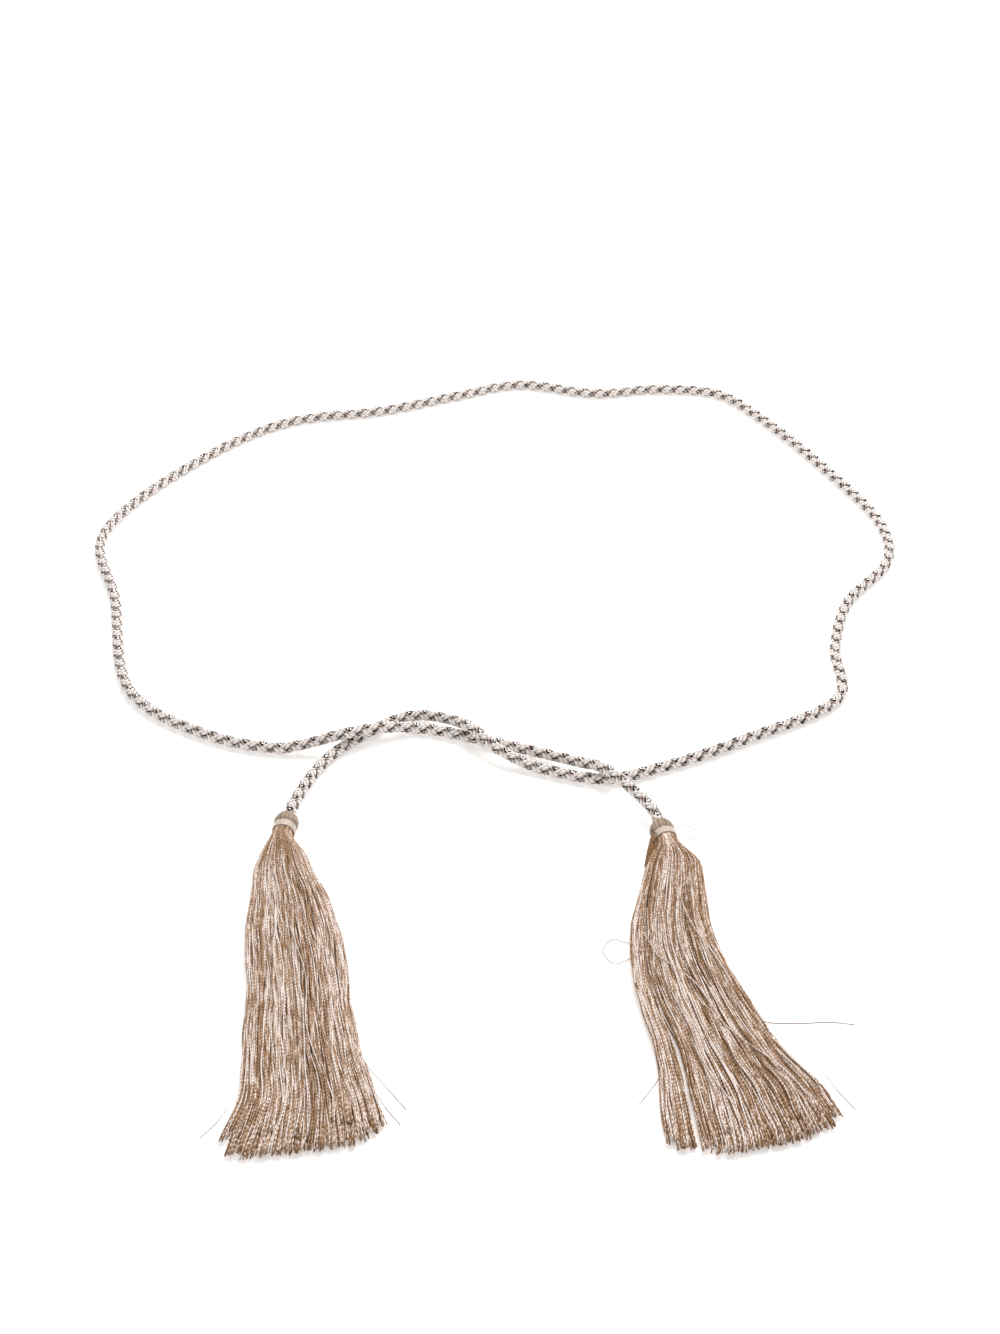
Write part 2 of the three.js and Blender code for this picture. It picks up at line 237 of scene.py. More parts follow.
# fibres are drawn about 0.3 mm apart and 1.1 mm long, coarser than real ones so that they show
stretch = add_node(satin, "ShaderNodeMapping", inputs={"Scale": (14, 900, 1)},
                   links={"Vector": uv.outputs["UV"]})
fibres = add_node(satin, "ShaderNodeTexNoise", inputs={"Scale": 1, "Detail": 3},
                  links={"Vector": stretch.outputs["Vector"]})
bump = add_node(satin, "ShaderNodeBump", inputs={"Strength": 0.35, "Distance": 0.0001},
                links={"Height": fibres.outputs["Fac"]})
# painted highlight on top of each float, and painted brownish shade where the yarn dives under the
# next two
height = add_node(satin, "ShaderNodeAttribute", {"attribute_name": "tone"})
shaded = add_node(satin, "ShaderNodeMath", {"operation": "MULTIPLY_ADD"}, {1: 0.5},
                  {0: height.outputs["Fac"], 2: fibres.outputs["Fac"]})
shades = add_node(satin, "ShaderNodeValToRGB", links={"Fac": shaded.outputs[0]})
shades.color_ramp.elements[0].position = 0.5
shades.color_ramp.elements[0].color = colour("#A98F7E")
shades.color_ramp.elements[1].position = 0.95
shades.color_ramp.elements[1].color = colour("#FCF5F1")
satin.node_tree.links.new(shades.outputs["Color"], shader.inputs["Base Color"])
satin.node_tree.links.new(bump.outputs["Normal"], shader.inputs["Normal"])
shader.inputs["Roughness"].default_value = 0.27

# Metallic yarn: dark silver film slit thin and twisted, with painted highlights in its colour and
# painted shade between them
silver, shader = new_material("dark_silver_yarn")
uv = add_node(silver, "ShaderNodeUVMap", {"uv_map": "thread"})
# the film's twist shows as bumps and as painted glints about 0.8 mm apart
stretch = add_node(silver, "ShaderNodeMapping", inputs={"Scale": (3, 1250, 1)},
                   links={"Vector": uv.outputs["UV"]})
film = add_node(silver, "ShaderNodeTexNoise", inputs={"Scale": 1, "Detail": 1},
                links={"Vector": stretch.outputs["Vector"]})
bump = add_node(silver, "ShaderNodeBump", inputs={"Strength": 0.8, "Distance": 0.00025},
                links={"Height": film.outputs["Fac"]})
# a diamond has a painted highlight in its middle, where the yarn lies high, and painted shade at
# its outline
edge = add_node(silver, "ShaderNodeAttribute", {"attribute_name": "tone"})
glint = add_node(silver, "ShaderNodeMath", {"operation": "MULTIPLY_ADD"}, {1: -0.68},
                 {0: edge.outputs["Fac"], 2: film.outputs["Fac"]})
shades = add_node(silver, "ShaderNodeValToRGB", links={"Fac": glint.outputs[0]})
shades.color_ramp.elements[0].position = 0.3
shades.color_ramp.elements[0].color = colour("#2A2422")
shades.color_ramp.elements[1].position = 0.5
shades.color_ramp.elements[1].color = colour("#DED8D5")
silver.node_tree.links.new(shades.outputs["Color"], shader.inputs["Base Color"])
silver.node_tree.links.new(bump.outputs["Normal"], shader.inputs["Normal"])
shader.inputs["Metallic"].default_value = 1
shader.inputs["Roughness"].default_value = 0.3

for hand, laid in ((1, "right"), (-1, "left")):
    # which of each four yarns have the finish, their width and thickness, and how far they sink
    for finish, wanted, width, thickness, sink, material in (
            ("blush", (2, 3), 0.0018, 0.00074, 0, satin),
            ("silver", (0, 1), 0.0013, 0.0007, 0.00044, silver)):
        numbers = [n for n in range(yarns_each_way) if n % 4 in wanted]
        yarns = [yarn_rings(hand, n, width, thickness, sink) for n in numbers]
        piece = threads_mesh(f"cord_{finish}_{laid}_laid", np.stack([y[0] for y in yarns]),
                             np.stack([y[1] for y in yarns]))
        piece.data.materials.append(material)
        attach(piece, "root")

# Cotton: the soft core that the yarns are braided round, dull, and coloured a painted brown shade,
# as it is seen only as shade between them
core_radius = 0.0019
core_rings = round_cord(stations[::4, None], core_radius, np.linspace(0, 2 * math.pi, 9)[:-1])
core, shader = new_material("cotton_core")
shader.inputs["Base Color"].default_value = colour("#A98C78")
shader.inputs["Roughness"].default_value = 0.8
piece = threads_mesh("cord_core", core_rings[None, :, ::-1], np.array([0.5]))
piece.data.materials.append(core)
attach(piece, "root")

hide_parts("belt_cord")

# Tassels: each is a skirt of some three hundred long rose-beige threads, folded over the cord's end
# and cut off blunt at the tips. They part into flat locks that lie beside and over one another.
skirt_length = 0.170
end_width = 0.065
head_length = 0.0076
binding_width = 0.0034
# from the binding's middle, a tassel's neck, to the head above it and to the skirt below it
groove = binding_width / 2 + 0.0003
skirt_top = groove + 0.0014
# down, aside, spread, lift, thick, round, lean: how far down a row is as a share of the skirt's
# length, how far aside and how wide as shares of the end's width, the height of its middle and its
# thickness as shares of the head's width, how round its sides are, and how it leans in degrees
left_stations = [
    (0, 0, 0.12, 0.48, 0.84, 1, 0), (0.06, 0.01, 0.29, 0.43, 0.8, 0.95, 0),
    (0.135, 0.03, 0.41, 0.36, 0.7, 0.85, 0), (0.24, 0.105, 0.56, 0.28, 0.57, 0.75, 0),
    (0.37, 0.16, 0.64, 0.23, 0.49, 0.65, 0), (0.47, 0.2, 0.655, 0.2, 0.44, 0.55, 0),
    (0.58, 0.235, 0.67, 0.18, 0.41, 0.5, 0), (0.73, 0.285, 0.74, 0.16, 0.36, 0.5, 0),
    (0.84, 0.345, 0.83, 0.14, 0.32, 0.4, 2), (0.97, 0.345, 1.05, 0.12, 0.28, 0.4, 7),
]
right_stations = [
    (0, 0, 0.12, 0.48, 0.84, 1, 0), (0.06, 0.05, 0.36, 0.43, 0.8, 0.95, 0),
    (0.19, 0.01, 0.45, 0.33, 0.68, 0.85, 6), (0.28, -0.01, 0.51, 0.28, 0.58, 0.75, 4),
    (0.37, 0, 0.58, 0.24, 0.51, 0.65, 7), (0.45, 0.035, 0.64, 0.21, 0.46, 0.55, 8),
    (0.54, 0.095, 0.68, 0.19, 0.42, 0.5, 7), (0.63, 0.175, 0.7, 0.17, 0.38, 0.5, 7),
    (0.72, 0.25, 0.8, 0.15, 0.35, 0.5, 8), (0.79, 0.315, 0.96, 0.14, 0.32, 0.4, 9),
    (0.92, 0.385, 1.07, 0.12, 0.28, 0.4, 13),
]
# across, reach, girth, rise, drift: a lock's place from left to right, its length as a share of the
# skirt's, its width as a share of an even one, its rise over the others as a share of the head's
# width, and how far aside its tip goes as a share of the end's width
left_locks = [
    (0.02, 0.935, 0.9, 0, 0), (0.11, 0.972, 1.1, 0.01, -0.01), (0.2, 0.985, 1, 0, 0),
    (0.29, 0.978, 1.15, 0.02, 0), (0.38, 0.984, 1, 0, 0.01), (0.46, 0.977, 1.05, 0.01, 0),
    (0.55, 0.982, 1.1, 0.03, -0.01), (0.64, 0.976, 1, 0, 0), (0.73, 0.979, 1.1, 0.02, 0),
    (0.82, 0.965, 1.05, 0, 0.01), (0.91, 0.95, 1, 0.01, 0), (0.985, 0.93, 0.85, 0, 0),
    (0.24, 0.93, 0.8, 0.07, 0.02), (0.5, 0.95, 0.9, 0.08, -0.03), (0.76, 0.92, 0.8, 0.07, 0.02),
]
right_locks = [
    (0.01, 0.89, 0.8, 0, -0.03), (0.07, 0.91, 0.74, 0, -0.025), (0.18, 0.922, 0.88, 0.01, 0.015),
    (0.27, 0.94, 1.1, 0, 0), (0.36, 0.945, 1.05, 0.02, 0), (0.45, 0.942, 1.1, 0, 0),
    (0.54, 0.946, 1.05, 0.01, 0.01), (0.63, 0.945, 1.1, 0.03, 0), (0.72, 0.944, 1, 0, 0),
    (0.81, 0.934, 1.1, 0.01, 0), (0.9, 0.925, 1, 0, 0), (0.98, 0.9, 0.85, 0, 0),
    (0.32, 0.9, 0.8, 0.07, -0.02), (0.56, 0.92, 0.9, 0.08, 0.03), (0.8, 0.89, 0.8, 0.06, -0.02),
]
# turn and end: the way a tassel points, and the cord's end that it hangs on. gathered: how far
# below the neck its threads have spread into their locks. The next two: how much painted shade
# darkens the threads at the top, and how far down that goes. The distances are in metres.
tassels = {
    "left": dict(stations=left_stations, locks=left_locks, turn=math.radians(-8), end=0, seed=11,
                 gathered=0.014, top_shade=-0.36, top_reach=0.032),
    "right": dict(stations=right_stations, locks=right_locks, turn=math.radians(12), end=-1,
                  seed=23, gathered=0.019, top_shade=-0.25, top_reach=0.07),
}
for tassel in tassels.values():
    # the stations' table, evened out so that nothing kinks where a row stands
    rows = np.array(tassel["stations"], float)
    down = np.linspace(0, rows[-1, 0], 121)
    window = np.hanning(13)[1:-1]
    window /= window.sum()
    pad = len(window) // 2
    table = [down]
    for k in range(1, 7):
        value = np.interp(down, rows[:, 0], rows[:, k])
        before = 2 * value[0] - value[pad:0:-1]
        after = 2 * value[-1] - value[-2:-pad - 2:-1]
        table.append(np.convolve(np.concatenate([before, value, after]), window, "valid"))
    tassel["table"] = np.stack(table, 1)
    # the cord's route ends 0.6 mm above the head
    to_cord = groove + head_length + 0.0006
    end = points[tassel["end"]]
    tassel["neck"] = np.array([end[0] + math.sin(tassel["turn"]) * to_cord,
                               end[1] - math.cos(tassel["turn"]) * to_cord, 0])

# twelve locks of 22 threads lie side by side, each 1.45 times as wide as its even share, and three
# smaller ones lie on top
side_by_side = 12
overlap = 1.45
threads_in_lock = 22
threads_on_top = 14


def in_lock(tassel, lock, way, across, over, reach):
    """Where a thread of a lock is, at shares of its way from the skirt's top to its tip.
    across and over are its shares of the lock's half width and half height."""
    table = tassel["table"]
    down = np.minimum(reach * way, table[-1, 0])
    at = [np.interp(down, table[:, 0], table[:, k]) for k in range(1, 7)]
    aside, spread, lift, thick, rounded, lean = at
    # below the last row the skirt goes on spreading, by 12 % for a tenth of its length
    beyond = (reach * way - down) / 0.1
    spread = spread * (1 + 0.12 * beyond)
    place, _, girth, rise, drift = lock
    side_share = 2 * place - 1
    width = spread * end_width
    half_width = width / side_by_side * girth * overlap / 2
    # the skirt is lower at its sides, and each lock thins by a quarter at its tip
    crown = np.sqrt(1 - 0.9 * rounded * side_share ** 2)
    half_height = thick * head_width / 2 * crown * (1 - 0.25 * np.maximum(0, way - 0.85) / 0.15)
    x = (width / 2 - half_width) * side_share + drift * end_width * way ** 2 + across * half_width
    z = lift * head_width + rise * head_width * np.minimum(1, way / 0.25) + over * half_height
    lean = np.radians(lean)
    return np.stack([aside * end_width + x * np.cos(lean),
                     -skirt_top - reach * way * skirt_length + x * np.sin(lean), z], -1)


def round_thread(line, radius, corners):
    """Sections of a thread of that radius along a line, as rings of corners."""
    ahead = np.gradient(line, axis=0)
    ahead /= np.linalg.norm(ahead, axis=1)[:, None] + 1e-12
    side = np.cross(ahead, [0, 0, 1])
    side /= np.linalg.norm(side, axis=1)[:, None] + 1e-12
    high = np.cross(side, ahead)
    angle = np.linspace(0, 2 * math.pi, corners + 1)[:-1]
    size = np.broadcast_to(np.asarray(radius, float), (len(line),))[:, None, None]
    return line[:, None, :] + size * (np.cos(angle)[None, :, None] * side[:, None, :]
                                      + np.sin(angle)[None, :, None] * high[:, None, :])


def ripple(chance, along, shortest, longest):
    """A gentle wave along a thread, its length between those two and its start anywhere."""
    length = chance.uniform(shortest, longest)
    return np.sin(2 * math.pi * along / length + chance.uniform(0, 6.28))


def from_head(spots, turned):
    """Points round the head's own axis, turned to the way it points and lifted to its height."""
    cosine, sine = math.cos(turned), math.sin(turned)
    return np.stack([spots[..., 0] * cosine - spots[..., 1] * sine,
                     spots[..., 0] * sine + spots[..., 1] * cosine,
                     spots[..., 2] + head_axis], -1)


# Viscose tassel thread: two plies twisted together, glossy, rose beige, with paler glints and
# darker shade painted into its colour
thread, shader = new_material("rose_beige_viscose")
uv = add_node(thread, "ShaderNodeUVMap", {"uv_map": "thread"})
tone = add_node(thread, "ShaderNodeAttribute", {"attribute_name": "tone"})
parts = add_node(thread, "ShaderNodeSeparateXYZ", links={"Vector": uv.outputs["UV"]})
# the plies' twist, one turn each 3.4 mm, half as close as the real one so that it shows
twist = add_node(thread, "ShaderNodeMath", {"operation": "MULTIPLY_ADD"}, {1: 1 / 0.0034},
                 {0: parts.outputs["Y"], 2: parts.outputs["X"]})
# each thread's twist starts at a place of its own
start = add_node(thread, "ShaderNodeMath", {"operation": "MULTIPLY_ADD"}, {1: 7.3},
                 {0: tone.outputs["Fac"], 2: twist.outputs[0]})
radians = add_node(thread, "ShaderNodeMath", {"operation": "MULTIPLY"}, {1: 4 * math.pi},
                   {0: start.outputs[0]})
plies = add_node(thread, "ShaderNodeMath", {"operation": "SINE"}, links={0: radians.outputs[0]})
# painted glints and painted shade in stretches of thread some 7 mm long
stretch = add_node(thread, "ShaderNodeMapping", inputs={"Scale": (2, 140, 1)},
                   links={"Vector": uv.outputs["UV"]})
seed_shift = add_node(thread, "ShaderNodeVectorMath", {"operation": "MULTIPLY_ADD"},
                      {1: (37, 91, 53)},
                      {0: tone.outputs["Vector"], 2: stretch.outputs["Vector"]})
patches = add_node(thread, "ShaderNodeTexNoise", inputs={"Scale": 1, "Detail": 3},
                   links={"Vector": seed_shift.outputs["Vector"]})
glints = add_node(thread, "ShaderNodeMath", {"operation": "MULTIPLY_ADD"}, {1: 1.75, 2: -0.5},
                  {0: patches.outputs["Fac"]})
mixed = add_node(thread, "ShaderNodeMath", {"operation": "MULTIPLY_ADD"}, {1: 0.66},
                 {0: tone.outputs["Fac"], 2: glints.outputs[0]})
# painted shade in the grooves between the plies and painted highlight on their crests
ply_groove_shade = add_node(thread, "ShaderNodeMath", {"operation": "MULTIPLY_ADD"}, {1: 0.1},
                   {0: plies.outputs[0], 2: mixed.outputs[0]})
# the colours run from a painted golden-brown shade through rose beige to a pale painted highlight
shades = add_node(thread, "ShaderNodeValToRGB", links={"Fac": ply_groove_shade.outputs[0]})
shades.color_ramp.elements[0].position = 0.34
shades.color_ramp.elements[0].color = colour("#886034")
shades.color_ramp.elements[1].position = 0.98
shades.color_ramp.elements[1].color = colour("#FDEFE7")
shades.color_ramp.elements.new(0.71).color = colour("#BE9775")
bump = add_node(thread, "ShaderNodeBump", inputs={"Strength": 0.9, "Distance": 0.0001},
                links={"Height": plies.outputs[0]})
thread.node_tree.links.new(shades.outputs["Color"], shader.inputs["Base Color"])
thread.node_tree.links.new(bump.outputs["Normal"], shader.inputs["Normal"])
shader.inputs["Roughness"].default_value = 0.23

thread_radius = 0.00032
bundle_radius = 0.0043
# a thread's sections: two inside the binding, and then this many down to its tip
inside_binding = [-0.0016, 0.0004]
skirt_way = np.linspace(0, 1, 60)
# held by the binding at the top, and free to wave from a fifth of the way down
freed = np.minimum(1, 5 * skirt_way)
for name, tassel in tassels.items():
    chance = np.random.default_rng(tassel["seed"])
    rings, tones = [], []
    for number, lock in enumerate(tassel["locks"]):
        count = threads_in_lock if number < side_by_side else threads_on_top
        long_wave = chance.uniform(0.045, 0.085)
        short_wave = chance.uniform(0.022, 0.034)
        # two of these are used, and the third is drawn to leave the draws after it as they are
        starts = chance.uniform(0, 2 * math.pi, 3)
        lock_tone = chance.uniform(-0.08, 0.12)
        for k in range(count):
            reach = lock[1] * (1 + chance.normal(0, 0.0018))
            along = reach * skirt_length * skirt_way
            # most lie side by side over the lock's upper side, and the rest beneath them
            place = 2.1 * ((k * 7 % count) + chance.uniform(0.1, 0.9)) / count - 1.05
            high = chance.uniform(0.78, 1.05) if k % 6 else chance.uniform(-0.7, 0.3)
            # every fifth thread strays over its neighbours on the way down
            across = place + chance.normal(0, 0.7 if k % 5 == 2 else 0.2) * skirt_way
            over = high * math.sqrt(max(0, 1.12 - place ** 2))
            # it sways inside the lock, by these shares of the lock's half width and half height
            across = across + 0.16 * freed * ripple(chance, along, 0.05, 0.1)
            over = over + 0.22 * freed * ripple(chance, along, 0.04, 0.09)
            across, over = np.clip(across, -1.12, 1.12), np.clip(over, -1, 1.08)
            line = in_lock(tassel, lock, skirt_way, across, over, reach)
            # the lock's threads wave together, and each a little by itself
            shared = 0.0004 * np.sin(2 * math.pi * along / long_wave + starts[0]) \
                + 0.00016 * np.sin(2 * math.pi * along / short_wave + starts[1])
            own = 0.00016 * ripple(chance, along, 0.016, 0.035)
            line[:, 0] += (shared + own) * freed
            line[:, 2] += 0.00014 * freed * ripple(chance, along, 0.012, 0.03)
            radius = thread_radius * chance.uniform(0.85, 1.15)
            line[:, 2] = np.maximum(line[:, 2], radius)
            # it leaves the binding in a round bundle, and has its place in the lock further on
            order = np.clip(0.86 * (2 * lock[0] - 1) + 0.14 * place, -0.98, 0.98)
            height = math.sqrt(1 - order ** 2) * np.clip(high, -0.9, 1)
            drop = np.concatenate([inside_binding, skirt_top + along])
            bundle = bundle_radius + 0.13 * np.clip(drop - 0.0016, 0, 0.02)
            bound = from_head(np.stack([order * bundle, -drop, height * bundle], -1),
                              tassel["turn"])
            share = eased(np.clip(drop / tassel["gathered"], 0, 1)[:, None])
            line = np.vstack([line[:1], line[:1], line])
            line = bound * (1 - share) + line * share + tassel["neck"]
            line[:, 2] = np.maximum(line[:, 2], radius)
            rings.append(round_thread(line, radius, 5))
            # painted shade deep in the lock, and darker a little at the cut tips
            deep = np.concatenate([over[:1], over[:1], over])
            tip = np.concatenate([[0, 0], np.maximum(0, skirt_way - 0.93) / 0.07])
            # and painted shade near the top, where the threads lie drawn together
            top = tassel["top_shade"] * np.clip(1 - drop / tassel["top_reach"], 0, 1)
            # each thread's own random tone and its lock's, with painted shade towards the lock's
            # sides, where it meets the next
            tones.append(chance.uniform(0, 0.85) + lock_tone - 0.3 * abs(place) ** 3
                         + 0.18 * deep - 0.15 * tip + top)
    piece = threads_mesh(f"{name}_tassel_threads", np.array(rings), np.array(tones))
    piece.data.materials.append(thread)
    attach(piece, "root")
    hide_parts(f"{name}_tassel")

# Inner threads: the middle of each lock, where more of the same viscose threads hang from the
# binding with the others, drawn as one solid in painted warm shade. It is seen only as shade
# between the outer threads.
shade, shader = new_material("shaded_viscose")
shader.inputs["Base Color"].default_value = colour("#A98461")
shader.inputs["Roughness"].default_value = 0.6
inner_way = np.linspace(0, 1, 30)
for name, tassel in tassels.items():
    rings = []
    for lock in tassel["locks"]:
        # it keeps within the outer threads, to the sides, above and at the tip
        skin = np.stack([in_lock(tassel, lock, inner_way, 0.84 * math.cos(angle),
                                 0.5 * math.sin(angle) - 0.1, 0.975 * lock[1])
                         for angle in np.linspace(0, 2 * math.pi, 9)[:-1]], 1)
        skin[..., 2] = np.maximum(skin[..., 2], 0.0001)
        rings.append(skin[:, ::-1] + tassel["neck"])
    piece = threads_mesh(f"{name}_tassel_inner_threads_shade", np.array(rings), np.full(len(rings), 0.5))
    piece.data.materials.append(shade)
    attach(piece, "root")

# Heads: the threads are folded over the cord's end, so that they run over a dome as a smooth
# Beneath them is the fold itself, built here.
head_threads = 46
head_thread_radius = 0.00041
# the fold's radius under the binding, how far it goes on below the groove there, and how far it
# keeps beneath the skin of threads
waist = 0.0041
fold_overlap = 0.0008
skin_depth = 0.0006
# the same viscose, but drawn tight over the fold, where its plies lie flat and gleam less
drawn, shader = new_material("drawn_viscose")
tone = add_node(drawn, "ShaderNodeAttribute", {"attribute_name": "tone"})
shades = add_node(drawn, "ShaderNodeValToRGB", links={"Fac": tone.outputs["Fac"]})
shades.color_ramp.elements[0].color = colour("#8C755E")
shades.color_ramp.elements[1].color = colour("#BBA794")
drawn.node_tree.links.new(shades.outputs["Color"], shader.inputs["Base Color"])
shader.inputs["Roughness"].default_value = 0.36
# the dome's profile: shares of the head's length from the groove, and of its half width
dome_profile = [(0, 0.93), (0.3, 1), (0.65, 0.88), (0.88, 0.68), (1, 0.54)]
for name, tassel in tassels.items():
    bpy.ops.object.select_all(action="DESELECT")
    bpy.ops.mesh.primitive_circle_add(vertices=24, radius=waist, fill_type="NGON",
                                      location=(0, 0, -groove - fold_overlap))
    piece = bpy.context.active_object
    piece.name = f"{name}_head_fold"
    bpy.ops.object.transform_apply(location=True, rotation=True, scale=True)
    bpy.ops.object.mode_set(mode="EDIT")
    bpy.ops.mesh.flip_normals()
    bpy.ops.mesh.extrude_region_move(
        TRANSFORM_OT_translate={"value": (0, 0, 2 * groove + fold_overlap)})
    high, wide = groove, waist
    for along, share in dome_profile:
        radius = share * head_width / 2 - skin_depth
        rise = groove + along * head_length - high
        bpy.ops.mesh.extrude_region_move(TRANSFORM_OT_translate={"value": (0, 0, rise)})
        bpy.ops.transform.resize(value=(radius / wide, radius / wide, 1))
        high, wide = groove + along * head_length, radius
    bpy.ops.object.mode_set(mode="OBJECT")
    bpy.ops.object.shade_smooth()
    piece.rotation_euler = (math.radians(-90), 0, tassel["turn"])
    piece.location = (*tassel["neck"][:2], head_axis)
    bpy.ops.object.transform_apply(location=True, rotation=True, scale=True)
    # the fold takes the shaded viscose: a solid in painted shade, seen only between the threads of
    # the skin
    piece.data.materials.append(shade)
    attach(piece, "root")

    # the skin of folded threads, each lying against the next
    chance = np.random.default_rng(tassel["seed"] + 1)
    profile = smooth_way(np.array(
        [(groove - 0.0014, bundle_radius, 0),
         (groove, dome_profile[0][1] * head_width / 2 - 0.0002, 0)]
        + [(groove + a * head_length, r * head_width / 2, 0) for a, r in dome_profile[1:]]
        + [(groove + head_length + 0.0004, 0.0023, 0)]), 5)[0][:, :2]
    # they crowd together and get thinner towards the cord
    crowd = np.clip(profile[:, 1] / (head_width / 2), 0.62, 1)
    rings, tones = [], []
    for k in range(head_threads):
        turned = 2 * math.pi * (k + chance.uniform(-0.22, 0.22)) / head_threads
        sway = chance.normal(0, 0.05) * np.linspace(0, 1, len(profile))
        radius = head_thread_radius * chance.uniform(0.88, 1.12)
        deep = radius * chance.uniform(0.8, 1.2)
        around = turned + sway
        line = np.stack([(profile[:, 1] - deep) * np.cos(around), profile[:, 0],
                         (profile[:, 1] - deep) * np.sin(around)], -1)
        sections = from_head(round_thread(line, radius * crowd, 6), tassel["turn"])
        sections += tassel["neck"]
        # flattened a little where the head lies on the surface
        sections[..., 2] = np.maximum(sections[..., 2], least_height)
        rings.append(sections)
        tones.append(chance.uniform(0.1, 0.9))
    piece = threads_mesh(f"{name}_head_threads", np.array(rings), np.array(tones))
    piece.data.materials.append(drawn)
    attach(piece, "root")

# Bindings: a bright satin viscose thread, wound tight five times round each neck and tied off
# beneath, which holds the folded threads and the cord's end together.
binding_thread, shader = new_material("bright_satin_thread")
shader.inputs["Base Color"].default_value = colour("#E2D2C4")
shader.inputs["Roughness"].default_value = 0.22
turns = 5
pitch = 0.00068
winding_radius = 0.00493
satin_thread_radius = 0.00037
sections_a_turn = 48
for name, tassel in tassels.items():
    bpy.ops.object.select_all(action="DESELECT")
    bpy.ops.mesh.primitive_circle_add(
        vertices=10, radius=satin_thread_radius, rotation=(math.radians(90), 0, 0),
        location=(winding_radius, 0, -turns * pitch / 2))
    piece = bpy.context.active_object
    piece.name = f"{name}_binding_thread"
    bpy.ops.object.transform_apply(location=True, rotation=True, scale=True)
    winding = piece.modifiers.new("winding", "SCREW")
    winding.axis = "Z"
    winding.iterations = turns
    winding.screw_offset = pitch
    winding.steps = sections_a_turn
    winding.render_steps = sections_a_turn
    bpy.ops.object.modifier_apply(modifier="winding")
    bpy.ops.object.mode_set(mode="EDIT")
    bpy.ops.mesh.select_mode(type="EDGE")
    bpy.ops.mesh.select_all(action="DESELECT")
    bpy.ops.mesh.select_non_manifold()
    bpy.ops.mesh.fill()
    bpy.ops.mesh.select_all(action="SELECT")
    bpy.ops.mesh.normals_make_consistent(inside=False)
    bpy.ops.object.mode_set(mode="OBJECT")
    bpy.ops.object.shade_smooth()
    piece.rotation_euler = (math.radians(-90), 0, tassel["turn"])
    piece.location = (*tassel["neck"][:2], head_axis)
    bpy.ops.object.transform_apply(location=True, rotation=True, scale=True)
    piece.data.materials.append(binding_thread)
    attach(piece, "root")
    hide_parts(f"{name}_binding")

# Loose threads: a few ends have slipped out of the tassels and lie over them or on the surface
# beside them, and some fine single fibres with them. A row has the thread's radius and its way from
# the tassel's neck, in mm.
stray_threads = {
    "left": [
        (0.13, [(40, -122, 2), (44.5, -130, 1), (52.5, -140, 0.3), (60, -150, 0.2)]),
        (0.13, [(47, -142, 2), (52, -149, 0.4), (58, -157, 0.2)]),
        (0.13, [(-8, -151, 2), (-11.5, -156, 0.4), (-17, -163, 0.2)]),
        (0.24, [(-4, -22, 9.2), (3, -45, 8.2), (2, -70, 6.4), (7, -96, 5.6)]),
        (0.24, [(8, -60, 7.6), (17, -88, 6.2), (19, -112, 5.4), (27, -136, 4.4)]),
    ],
    "right": [
        (0.26, [(-13, -58, 6.2), (-10.8, -64.6, 6.8), (-8, -71.3, 6.8), (0.4, -79.5, 6.6),
                (6.4, -86.6, 6.3), (12, -98, 5.6)]),
        (0.26, [(2.5, -36, 9), (6, -51, 8.2), (10.4, -62.9, 7.6), (14.7, -70.2, 7.1),
                (21, -86, 6.2)]),
        (0.24, [(-6, -84, 6.2), (2, -108, 5.6), (7, -128, 4.8), (16, -146, 4)]),
        (0.24, [(8, -96, 5.8), (20, -112, 5.2), (36, -128, 4.6), (46, -142, 3.8)]),
        (0.13, [(-14, -58, 2), (-19.5, -59, 0.5), (-25, -56.5, 0.3), (-30, -63, 0.3),
                (-25.5, -70.5, 0.3), (-20, -68.5, 0.5), (-14, -66, 2)]),
        (0.13, [(4, -4, 9.5), (6, 3, 9), (11.4, 5, 7), (15, 2, 6), (11, -2, 6.5), (5, -5, 9)]),
        (0.16, [(26, -99, 2.5), (33.5, -101.8, 0.4), (47, -102.4, 0.2), (59, -101.8, 0.2),
                (68.5, -103, 0.2)]),
        (0.13, [(-9, -127, 2), (-12.5, -132.5, 0.4), (-19.5, -142.5, 0.2)]),
        (0.13, [(53, -130, 2), (56.6, -135.4, 0.4), (62.5, -145, 0.2)]),
    ],
}
for name, rows in stray_threads.items():
    rings, tones = [], []
    for radius, row in rows:
        line, along = smooth_way(np.array(row) / 1000, 8)
        even_steps = np.linspace(0, along[-1], 48)
        line = np.stack([np.interp(even_steps, along, line[:, k]) for k in range(3)], 1)
        line[:, 2] = np.maximum(line[:, 2], radius / 1000)
        rings.append(round_thread(line + tassels[name]["neck"], radius / 1000, 5))
        # whole threads are painted pale, a painted highlight for the light they catch, and fine
        # fibres are given a dark tone
        tones.append(0.95 if radius > 0.2 else 0.1)
    piece = threads_mesh(f"{name}_stray_threads", np.array(rings), np.array(tones))
    piece.data.materials.append(thread)
    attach(piece, "root")

# The right tassel's loose lock: a flat bundle of threads that has slipped out beside the head,
# pinched under a loop of dark thread. Its brown is painted shade, for the bundle's shaded side.
chance = np.random.default_rng(7)
loose_threads = 18
loose_thread_radius = 0.00024
rings = []
for k in range(loose_threads):
    share = (k + 0.5) / loose_threads
    # in mm from the neck
    path = np.array([(-3.9 - 1.2 * share, 0, 7.6), (-4.2 - 2 * share, -2, 7.4),
                     (-4.3 - 3.4 * share, -6.5, 6.2), (-6 - 2.8 * share, -11, 4.4),
                     (-8.6 - 1.2 * share, -15.5 - chance.uniform(-0.8, 0.8), 2.8)]) / 1000
    line = smooth_way(path, 6)[0]
    rings.append(round_thread(line + tassels["right"]["neck"], loose_thread_radius, 5))
# low tones paint the lock in brown painted shade
piece = threads_mesh("right_loose_lock", np.array(rings),
                     chance.uniform(-0.1, 0.12, loose_threads))
piece.data.materials.append(thread)
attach(piece, "root")

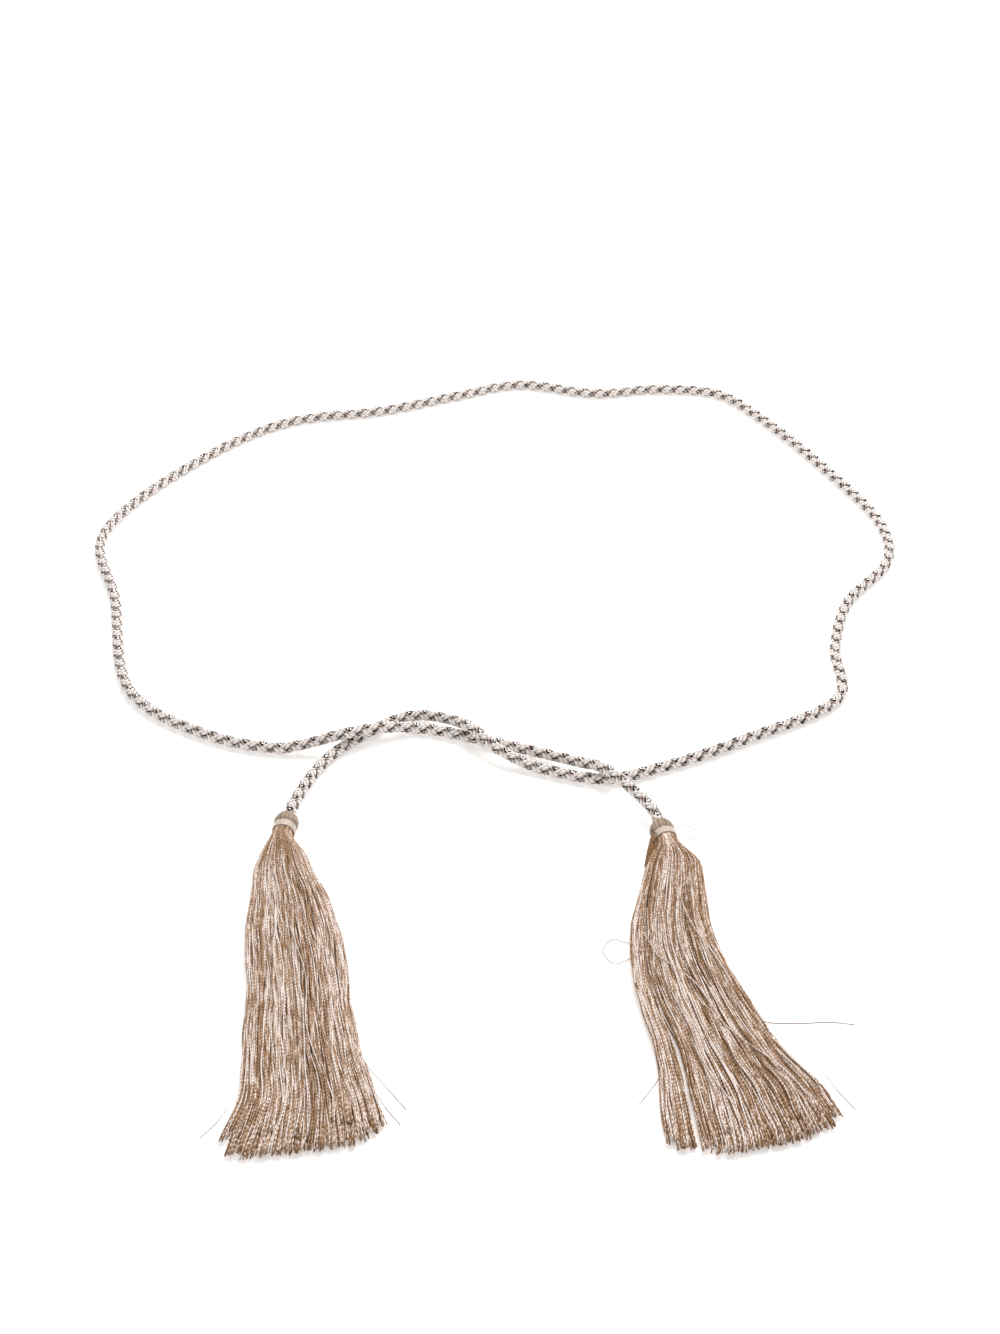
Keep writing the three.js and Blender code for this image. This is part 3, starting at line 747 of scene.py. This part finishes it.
# Polyester sewing thread: dark brown, and duller than the viscose round it
dark, shader = new_material("dark_polyester_thread")
shader.inputs["Base Color"].default_value = colour("#54443A")
shader.inputs["Roughness"].default_value = 0.5
tie_thread_radius = 0.00017
# in mm from the neck
loop = np.array([(-4.4, 1.8, 8.2), (-6.1, 2.4, 7.4), (-5.3, 0.4, 8), (-4, -0.9, 8.6),
                 (-4.4, -3.4, 8), (-5.2, -5.4, 7.3), (-6.2, -3.4, 7)]) / 1000
line = smooth_way(loop, 10)[0] + tassels["right"]["neck"]
piece = threads_mesh("right_tie_thread", round_thread(line, tie_thread_radius, 6)[None],
                     np.array([0.5]))
piece.data.materials.append(dark)
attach(piece, "root")

# Floor and light: a plain white sheet, faintly lit from beneath as on a product table, which
# keeps the shadows pale, under large soft lamps
bpy.ops.object.select_all(action="DESELECT")
bpy.ops.mesh.primitive_plane_add(size=8, location=(0, 0.6, 0))
floor = bpy.context.active_object
floor.name = "floor"
paper, shader = new_material("white_paper")
shader.inputs["Base Color"].default_value = colour("#F7F5F3")
shader.inputs["Roughness"].default_value = 0.9
shader.inputs["Emission Color"].default_value = (1, 1, 1, 1)
shader.inputs["Emission Strength"].default_value = 0.35
floor.data.materials.append(paper)

world = bpy.data.worlds.new("studio")
bpy.context.scene.world = world
world.use_nodes = True
world.node_tree.nodes["Background"].inputs["Color"].default_value = (1, 1, 1, 1)
world.node_tree.nodes["Background"].inputs["Strength"].default_value = 0.38
for name, place, aim, size, power in (
        ("softbox_back", (0.35, 1.1, 1.25), (0, 0.15, 0), 1.3, 32),
        ("softbox_front", (-0.8, -0.9, 1.2), (0, 0.1, 0), 1.1, 5)):
    lamp = bpy.data.lights.new(name, "AREA")
    lamp.size = size
    lamp.energy = power
    box = bpy.data.objects.new(name, lamp)
    box.location = place
    toward = np.array(aim) - np.array(place)
    box.rotation_euler = (
        math.atan2(math.hypot(toward[0], toward[1]), -toward[2]), 0,
        math.atan2(toward[1], toward[0]) - math.pi / 2)
    bpy.context.scene.collection.objects.link(box)
